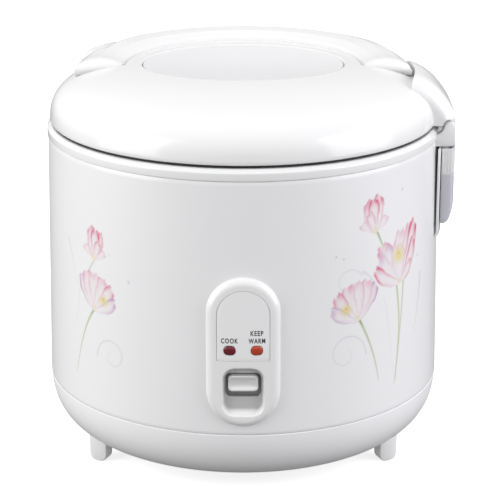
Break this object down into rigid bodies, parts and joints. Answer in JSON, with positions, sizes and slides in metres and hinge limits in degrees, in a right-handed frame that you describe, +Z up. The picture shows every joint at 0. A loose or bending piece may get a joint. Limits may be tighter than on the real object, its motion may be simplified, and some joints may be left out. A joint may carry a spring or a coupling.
{
  "type": "rice cooker",
  "caption": "Round electric rice cooker with a side-hinged domed lid, folding carry handle, lid release, dew collector, cook switch and inner pot.",
  "frame": {"origin": "middle of the footprint's bounding box, on the surface that the cooker stands on", "axes": "+Z up, -Y towards the user's side with the switch panel, +X towards the lid hinge and the dew collector"},
  "size_m": [0.2574, 0.2522, 0.2472],
  "materials": {
    "drum_enamel": "smooth semi-gloss paint with a printed flower pattern",
    "gloss_white": "moulded, semi-gloss",
    "panel_grey": "fine satin",
    "smoky_clear": "translucent, smooth",
    "satin_silver": "satin silver lacquer",
    "dark_red_lens": "tinted lens",
    "orange_lens": "tinted lens",
    "dark_rubber": "matte",
    "silicone": "soft matte",
    "dark_plastic": "matte",
    "sheet_steel": "plated sheet and wire",
    "cast_aluminium": "cast and turned",
    "nonstick_grey": "dark non-stick coating with fine speckle",
    "ferrite": "sintered",
    "mica": "mica wrap",
    "board_green": "circuit board"
  },
  "bodies": {
    "root": {"outer_drum": "drum_enamel", "top_ring": "gloss_white", "base_shell": "gloss_white", "bottom_cover": "panel_grey", "foot_front_left": "gloss_white", "foot_front_right": "gloss_white", "foot_rear_left": "gloss_white", "foot_rear_right": "gloss_white", "cord_gland": "dark_rubber", "pot_well": "sheet_steel", "inner_pot": "nonstick_grey", "heating_plate": "cast_aluminium", "side_heater_band": "mica", "plate_post_1": "sheet_steel", "plate_post_2": "sheet_steel", "plate_post_3": "sheet_steel", "base_screw_1": "sheet_steel", "base_screw_2": "sheet_steel", "base_screw_3": "sheet_steel", "thermal_fuse": "panel_grey", "terminal_block": "panel_grey", "sensor_spring": "sheet_steel", "sensor_holder": "sheet_steel", "lever_bracket": "sheet_steel", "lever_pin": "sheet_steel", "micro_switch": "dark_plastic", "panel_bezel": "gloss_white", "label_plate": "panel_grey", "cook_lens": "dark_red_lens", "warm_lens": "orange_lens", "cook_lamp": "panel_grey", "warm_lamp": "panel_grey", "lamp_board": "board_green", "hinge_bracket": "gloss_white", "hinge_pin": "sheet_steel", "hinge_spring": "sheet_steel", "collector_plate": "gloss_white", "collector_holder": "gloss_white"},
    "lid": {"lid_cover": "gloss_white", "dish_insert": "panel_grey", "steam_vent_cap": "gloss_white", "steam_vent_seal": "silicone", "lid_liner": "panel_grey", "lid_seal": "dark_rubber", "inner_lid": "cast_aluminium", "inner_lid_gasket": "silicone", "hinge_cover": "gloss_white", "handle_pin_left": "sheet_steel", "handle_pin_right": "sheet_steel", "button_spring": "sheet_steel", "latch_pin": "sheet_steel"},
    "handle": {"carry_handle": "gloss_white"},
    "button": {"release_button": "gloss_white"},
    "latch": {"latch_hook": "sheet_steel"},
    "switch": {"switch_lever": "sheet_steel", "cook_knob": "satin_silver"},
    "lifter": {"magnet": "ferrite"},
    "sensor": {"sensor_cap": "cast_aluminium"},
    "collector": {"dew_collector": "smoky_clear"}
  },
  "joints": [
    {"name": "lid_open", "type": "hinge", "parent": "root", "child": "lid", "pos_m": [0.12269, 0.00174, 0.2116], "axis": [0, 1, 0], "range_deg": [0, 88]},
    {"name": "handle_swing", "type": "hinge", "parent": "lid", "child": "handle", "pos_m": [-0.00431, 0.00694, 0.241], "axis": [1, 0, 0], "range_deg": [0, 90]},
    {"name": "release_press", "type": "slide", "parent": "lid", "child": "button", "axis": [0, 0, -1], "range_m": [0, 0.0025], "stiffness_N_per_m": 400, "springref_m": -0.002, "deforming": ["button_spring"]},
    {"name": "latch_turn", "type": "hinge", "parent": "lid", "child": "latch", "pos_m": [-0.09902, 0.06208, 0.2186], "axis": [0.5373, 0.8434, 0], "range_deg": [0, 12]},
    {"name": "cook_press", "type": "hinge", "parent": "root", "child": "switch", "pos_m": [-0.00431, -0.06026, 0.0695], "axis": [1, 0, 0], "range_deg": [0, 3.5], "stiffness_Nm_per_rad": 0.5, "springref_deg": -3.44},
    {"name": "magnet_lift", "type": "slide", "parent": "root", "child": "lifter", "axis": [0, 0, 1], "range_m": [0, 0.0037]},
    {"name": "sensor_press", "type": "slide", "parent": "root", "child": "sensor", "axis": [0, 0, -1], "range_m": [0, 0.003], "stiffness_N_per_m": 300, "springref_m": -0.003, "deforming": ["sensor_spring"]},
    {"name": "collector_pull", "type": "slide", "parent": "root", "child": "collector", "axis": [1, 0, 0], "range_m": [0, 0.03]}
  ],
  "couplings": [
    {"joint": "latch_turn", "follows": "release_press", "rad_per_m": 83},
    {"joint": "magnet_lift", "follows": "cook_press", "m_per_rad": 0.06}
  ]
}
